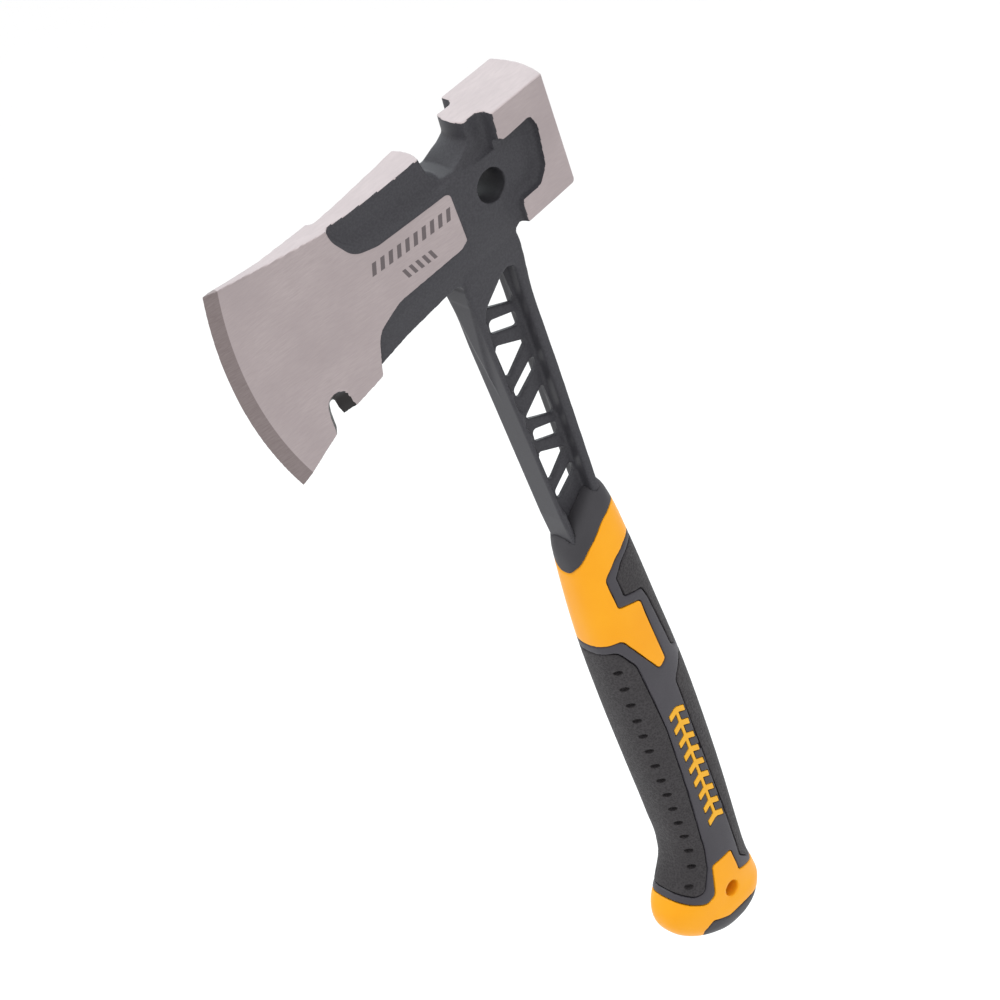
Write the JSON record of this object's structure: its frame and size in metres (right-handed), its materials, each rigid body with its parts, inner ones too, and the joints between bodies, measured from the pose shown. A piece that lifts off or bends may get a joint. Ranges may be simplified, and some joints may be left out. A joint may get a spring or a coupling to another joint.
{
  "type": "roofing hatchet",
  "caption": "One-piece forged roofing hatchet with a flared blade, flat striking poll, pierced I-section shank and a moulded two-colour grip.",
  "frame": {"origin": "centre of the eye hole through the head, on the middle plane between the two sides", "axes": "+X from the cutting edge to the striking face, +Y from the side seen in the picture to the other side, +Z from the grip to the head"},
  "size_m": [0.1361, 0.0256, 0.3491],
  "materials": {
    "forged_steel": "satin ground on the blade and poll, black paint in the recesses and on the shank",
    "yellow_plastic": "satin",
    "black_plastic": "satin",
    "black_rubber": "fine matt texture",
    "yellow_inlay": "smooth"
  },
  "bodies": {
    "root": {"forging": "forged_steel", "grip_core": "yellow_plastic", "grip_collar": "black_plastic", "grip_sleeve": "black_plastic", "front_pad": "black_rubber", "upper_back_pad": "black_rubber", "lower_back_pad": "black_rubber", "butt_pad": "black_plastic", "side_mark_near": "yellow_inlay", "side_mark_far": "yellow_inlay"}
  },
  "joints": []
}
